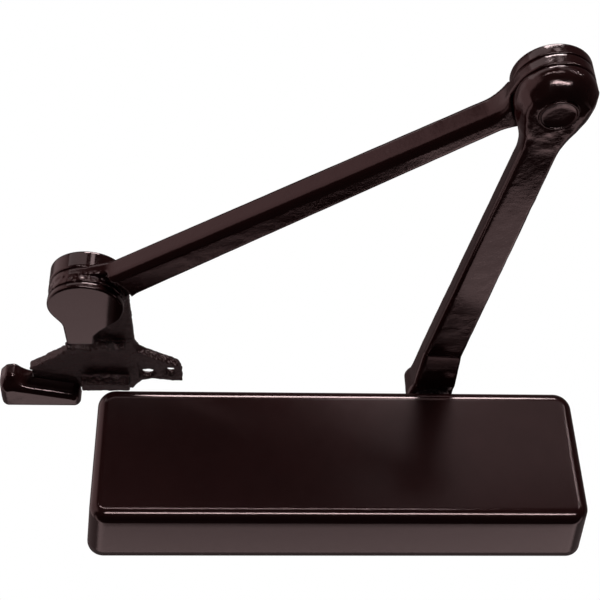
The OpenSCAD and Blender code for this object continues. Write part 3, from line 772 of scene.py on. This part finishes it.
def span(nodes, links, source, low, high):
    """Spreads the middle of a noise, from 0.3 to 0.7, between two values."""
    ramp = nodes.new("ShaderNodeMapRange")
    ramp.inputs["From Min"].default_value = 0.3
    ramp.inputs["From Max"].default_value = 0.7
    ramp.inputs["To Min"].default_value = low
    ramp.inputs["To Max"].default_value = high
    links.new(source, ramp.inputs["Value"])
    return ramp.outputs["Result"]


def step_mask(nodes, links, source, low, high):
    """0 below low and 1 above high."""
    ramp = nodes.new("ShaderNodeMapRange")
    ramp.interpolation_type = "SMOOTHSTEP"
    ramp.inputs["From Min"].default_value = low
    ramp.inputs["From Max"].default_value = high
    links.new(source, ramp.inputs["Value"])
    return ramp.outputs["Result"]


SMOOTH_FOOT = (82.2, 84.5)
ROUGH_SPECULAR = 0.9


def away_from_lugs(nodes, links, coord):
    """0 on the shoe's turned lugs and below its neck, and 1 on the rest of the forging."""
    split = nodes.new("ShaderNodeSeparateXYZ")
    links.new(coord.outputs["Object"], split.inputs[0])
    flat = nodes.new("ShaderNodeCombineXYZ")
    links.new(split.outputs["X"], flat.inputs["X"])
    links.new(split.outputs["Y"], flat.inputs["Y"])
    reach = nodes.new("ShaderNodeVectorMath")
    reach.operation = "DISTANCE"
    reach.inputs[1].default_value = (HUB[0] * MM, HUB[1] * MM, 0)
    links.new(flat.outputs[0], reach.inputs[0])
    both = nodes.new("ShaderNodeMath")
    both.operation = "MULTIPLY"
    links.new(step_mask(nodes, links, reach.outputs["Value"], (LUG_R + 0.3) * MM,
                        (LUG_R + 1.5) * MM), both.inputs[0])
    links.new(step_mask(nodes, links, split.outputs["Z"], SMOOTH_FOOT[0] * MM, SMOOTH_FOOT[1] * MM),
              both.inputs[1])
    return both.outputs[0]


def surface(name, dark, light, rough, metallic=0.0, bumps=(), patch=60.0, specular=0.5, mask=None,
            tint=(1, 1, 1)):
    """A material whose colour and roughness drift between two values, under layers of bump.

    bumps lists (noise scale in 1/m, depth in metres, detail); patch is the drift's scale in 1/m.
    mask, where it is given, says where the bumps show and the gloss is a little lower.
    """
    mat, nodes, links, bsdf, coord = shader(name)
    drift = noise_node(nodes, links, coord, patch, 5.0)
    mix = nodes.new("ShaderNodeMix")
    mix.data_type = "RGBA"
    mix.inputs["A"].default_value = (*dark, 1)
    mix.inputs["B"].default_value = (*light, 1)
    links.new(span(nodes, links, drift.outputs["Fac"], 0, 1), mix.inputs["Factor"])
    links.new(mix.outputs["Result"], bsdf.inputs["Base Color"])
    grain = noise_node(nodes, links, coord, patch * 7, 4.0)
    links.new(span(nodes, links, grain.outputs["Fac"], *rough), bsdf.inputs["Roughness"])
    bsdf.inputs["Metallic"].default_value = metallic
    bsdf.inputs["Specular IOR Level"].default_value = specular
    bsdf.inputs["Specular Tint"].default_value = (*tint, 1)
    if mask:
        where = mask(nodes, links, coord)
        level = span(nodes, links, where, specular, ROUGH_SPECULAR * specular)
        links.new(level, bsdf.inputs["Specular IOR Level"])
    last = None
    for scale, depth, detail in bumps:
        height = noise_node(nodes, links, coord, scale, detail)
        bump = nodes.new("ShaderNodeBump")
        bump.inputs["Strength"].default_value = 1.0
        bump.inputs["Distance"].default_value = depth
        links.new(height.outputs["Fac"], bump.inputs["Height"])
        if mask:
            links.new(where, bump.inputs["Strength"])
        if last:
            links.new(last.outputs["Normal"], bump.inputs["Normal"])
        last = bump
    if last:
        links.new(last.outputs["Normal"], bsdf.inputs["Normal"])
    return mat


PAINT_DARK, PAINT_LIGHT = (0.026, 0.0075, 0.0075), (0.031, 0.0095, 0.0095)
WARM_SHEEN = (1.0, 0.72, 0.72)
cover_paint = surface("cover_enamel", PAINT_DARK, PAINT_LIGHT, (0.1, 0.14),
                      bumps=((5200, 0.000014, 2),), patch=40, tint=WARM_SHEEN)
arm_paint = surface("arm_enamel", PAINT_DARK, PAINT_LIGHT, (0.08, 0.14),
                    bumps=((420, 0.00009, 4), (1700, 0.000022, 3)), patch=55, tint=WARM_SHEEN)
forging_paint = surface("forging_enamel", (0.016, 0.005, 0.005), (0.03, 0.009, 0.009),
                        (0.05, 0.14), bumps=((420, 0.0015, 5), (1600, 0.00018, 3)), patch=90,
                        mask=away_from_lugs, tint=WARM_SHEEN)
black_steel = surface("black_oxide", (0.018, 0.018, 0.02), (0.035, 0.034, 0.036), (0.35, 0.5), 0.85,
                      bumps=((2500, 0.00002, 2),), patch=150)
cast_iron = surface("primed_casting", (0.10, 0.10, 0.105), (0.15, 0.15, 0.155), (0.5, 0.68), 0.35,
                    bumps=((700, 0.0003, 4), (2400, 0.00006, 3)), patch=70)
bare_steel = surface("ground_steel", (0.42, 0.42, 0.43), (0.56, 0.56, 0.57), (0.2, 0.34), 1.0,
                     bumps=((3000, 0.00001, 2),), patch=120)
spring_steel = surface("spring_wire", (0.12, 0.12, 0.13), (0.2, 0.2, 0.21), (0.3, 0.42), 0.9,
                       bumps=((1800, 0.00003, 2),), patch=200)
brass = surface("turned_brass", (0.56, 0.38, 0.13), (0.66, 0.47, 0.19), (0.22, 0.36), 1.0,
                bumps=((2600, 0.00001, 2),), patch=160)
bush_metal = surface("sintered_bronze", (0.40, 0.25, 0.10), (0.52, 0.34, 0.16), (0.38, 0.5), 1.0,
                     bumps=((2200, 0.00005, 3),), patch=180)
rubber = surface("nitrile_rubber", (0.012, 0.012, 0.012), (0.02, 0.02, 0.02), (0.55, 0.7),
                 bumps=((1800, 0.00003, 2),), patch=120, specular=0.35)

SLOT_MATERIALS = {
    "cover_paint": cover_paint, "arm_paint": arm_paint, "forging_paint": forging_paint,
    "black_steel": black_steel, "cast_iron": cast_iron, "bare_steel": bare_steel,
    "spring_steel": spring_steel, "brass": brass, "bronze_bush": bush_metal, "seal_rubber": rubber}


def dress(obj, mat):
    obj.data.materials.clear()
    obj.data.materials.append(mat)


slot_of = {s["node"]: s["material_slot"] for s in frame["record"]["subparts"]}
for node_name, node_obj in frame["nodes"].items():
    dress(node_obj, SLOT_MATERIALS[slot_of[node_name]])

# ---- Which body each new piece rides on, and which CAD node it stands for ----

for piece, body, node in (
        (cover, "closer", "cover"), (main_arm, "arm", "main_arm"), (forearm, "link", "forearm"),
        (stud, "arm", "elbow_stud"), (cap, "arm", "elbow_cap"), (shoe, "shoe", "shoe_bracket"),
        (stop_block, "shoe", "stop_block"), (spring, "closer", "power_spring")):
    dress(piece, SLOT_MATERIALS[slot_of[node]])
    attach(piece, body)
    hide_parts(node)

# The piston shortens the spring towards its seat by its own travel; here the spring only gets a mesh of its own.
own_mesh(spring)

# ---- Camera and lights ----

CAMERA_AT = Vector((-65.4, -666.1, -295.6)) * MM
YAW, PITCH, ROLL = 0.061, 0.582, -0.021
LENS, SENSOR = 66.624, 36.0
SHIFT = (0.0138, -0.0027)
ahead = Vector((math.sin(YAW) * math.cos(PITCH), math.cos(YAW) * math.cos(PITCH), math.sin(PITCH)))
level = Vector((math.cos(YAW), -math.sin(YAW), 0))
upward = level.cross(ahead)
right = level * math.cos(ROLL) + upward * math.sin(ROLL)
top = upward * math.cos(ROLL) - level * math.sin(ROLL)
camera_data = bpy.data.cameras.new("camera")
camera = bpy.data.objects.new("camera", camera_data)
bpy.context.scene.collection.objects.link(camera)
facing = Matrix((right, top, -ahead)).transposed().to_4x4()
camera.matrix_world = Matrix.Translation(CAMERA_AT) @ facing
camera_data.sensor_width = SENSOR
camera_data.lens = LENS
camera_data.shift_x, camera_data.shift_y = SHIFT
camera_data.clip_start = 0.01
camera_data.clip_end = 30
bpy.context.scene.camera = camera


def softbox(name, at, target, size, power, colour=(1, 1, 1)):
    """A rectangular light at a place, turned to a target."""
    data = bpy.data.lights.new(name, "AREA")
    data.shape = "RECTANGLE"
    data.size, data.size_y = size
    data.energy = power
    data.color = colour
    obj = bpy.data.objects.new(name, data)
    obj.location = at
    obj.rotation_euler = (Vector(target) - Vector(at)).to_track_quat("-Z", "Y").to_euler()
    bpy.context.scene.collection.objects.link(obj)
    return obj


CENTRE = (-0.02, -0.1, 0.03)


def light_towards(name, azimuth, elevation, distance, size, radiance, diffuse=False, glossy=True):
    """A softbox seen from the middle of the object at an azimuth from -Y towards +X, in degrees."""
    az, el = math.radians(azimuth), math.radians(elevation)
    way = Vector((math.sin(az) * math.cos(el), -math.cos(az) * math.cos(el), math.sin(el)))
    power = radiance * math.pi * size[0] * size[1]
    lamp = softbox(name, Vector(CENTRE) + way * distance, CENTRE, size, power)
    lamp.visible_diffuse = diffuse
    lamp.visible_glossy = glossy


# The key lights the paint's own colour and doesn't mirror in it. The others only mirror.
light_towards("key", 20, 32, 2.2, (1.0, 1.0), 6.5, diffuse=True, glossy=False)
light_towards("above_camera", 12, 35.5, 2.0, (0.32, 0.3), 4)
light_towards("right_glow", 21, 27, 2.0, (0.75, 0.45), 0.5)
light_towards("upper_left", -33, 43, 2.0, (1.6, 0.7), 1.15)
light_towards("low_strip", 8, -33, 1.6, (1.3, 0.1), 42)
light_towards("level_strip", -8, 10, 1.8, (1.4, 0.04), 26)
light_towards("top_box", 8, 54, 2.0, (1.1, 0.42), 28)
TUBES = ((33, 22), (40, 18), (35, 12), (45, 25), (50, 15))
for k, (azimuth, elevation) in enumerate(TUBES):
    light_towards("tube_%d" % k, azimuth, elevation, 2.4, (0.14, 0.025), 90)
# A pale card light in front of the cover, placed for the underside of the main arm to mirror; camera and diffuse
# rays don't see it, but other glossy surfaces can mirror it too.
CARD_AT, CARD_TARGET, CARD_SIZE = (0.115, -0.062, -0.019), (0.08, -0.2, 0.04), (0.1, 0.102)
card = softbox("arm_card", CARD_AT, CARD_TARGET, CARD_SIZE, 0.02726, (1, 0.8, 0.8))
card.visible_camera = card.visible_diffuse = False

# Parts of the direction vector between which each surface round the object fades in
SHEET_LOW, SHEET_HIGH, BEHIND = (-0.64, -0.57), (-0.44, -0.38), (-0.1, 0.4)
LEFT_LOW, LEFT_SIDE = (-0.4, -0.2), (0.6, 0.82)
SHEET_GLOW, WALL_GLOW, LEFT_GLOW, ROOM_GLOW = 0.85, 0.1, 0.85, 0.03
DIFFUSE_LOSS = 0.7       # share of the room's glow that diffuse rays don't see

world = bpy.data.worlds.new("studio")
bpy.context.scene.world = world
world.use_nodes = True
wn, wl = world.node_tree.nodes, world.node_tree.links


def combine(operation, a, b):
    """A math node on sockets or numbers."""
    node = wn.new("ShaderNodeMath")
    node.operation = operation
    for socket, value in zip(node.inputs, (a, b)):
        if isinstance(value, (int, float)):
            socket.default_value = value
        else:
            wl.new(value, socket)
    return node.outputs[0]


def product(*values):
    result = values[0]
    for value in values[1:]:
        result = combine("MULTIPLY", result, value)
    return result


def room_glow():
    """A pale sheet behind and below, a dim wall above it, and a pale wall on the left."""
    coord = wn.new("ShaderNodeTexCoord")
    toward = wn.new("ShaderNodeSeparateXYZ")
    wl.new(coord.outputs["Generated"], toward.inputs[0])
    height = toward.outputs["Z"]
    behind = step_mask(wn, wl, toward.outputs["Y"], *BEHIND)
    above_sheet = step_mask(wn, wl, height, *SHEET_HIGH)
    on_sheet = product(step_mask(wn, wl, height, *SHEET_LOW), combine("SUBTRACT", 1, above_sheet))
    on_left = step_mask(wn, wl, product(toward.outputs["X"], -1), *LEFT_SIDE)
    sheet = product(behind, on_sheet, SHEET_GLOW)
    wall = product(behind, above_sheet, WALL_GLOW)
    left = product(on_left, step_mask(wn, wl, height, *LEFT_LOW), LEFT_GLOW)
    return combine("ADD", combine("MAXIMUM", combine("MAXIMUM", sheet, wall), left), ROOM_GLOW)


path = wn.new("ShaderNodeLightPath")
seen_by = combine("SUBTRACT", 1, product(path.outputs["Is Diffuse Ray"], DIFFUSE_LOSS))
lit = wn["Background"]
lit.inputs["Color"].default_value = (1, 0.78, 0.78, 1)
wl.new(product(room_glow(), seen_by), lit.inputs["Strength"])
backdrop = wn.new("ShaderNodeBackground")
backdrop.inputs["Color"].default_value = (1, 1, 1, 1)
choose = wn.new("ShaderNodeMixShader")
wl.new(path.outputs["Is Camera Ray"], choose.inputs["Fac"])
wl.new(lit.outputs[0], choose.inputs[1])
wl.new(backdrop.outputs[0], choose.inputs[2])
wl.new(choose.outputs[0], wn["World Output"].inputs["Surface"])
bpy.context.scene.view_settings.view_transform = "Standard"
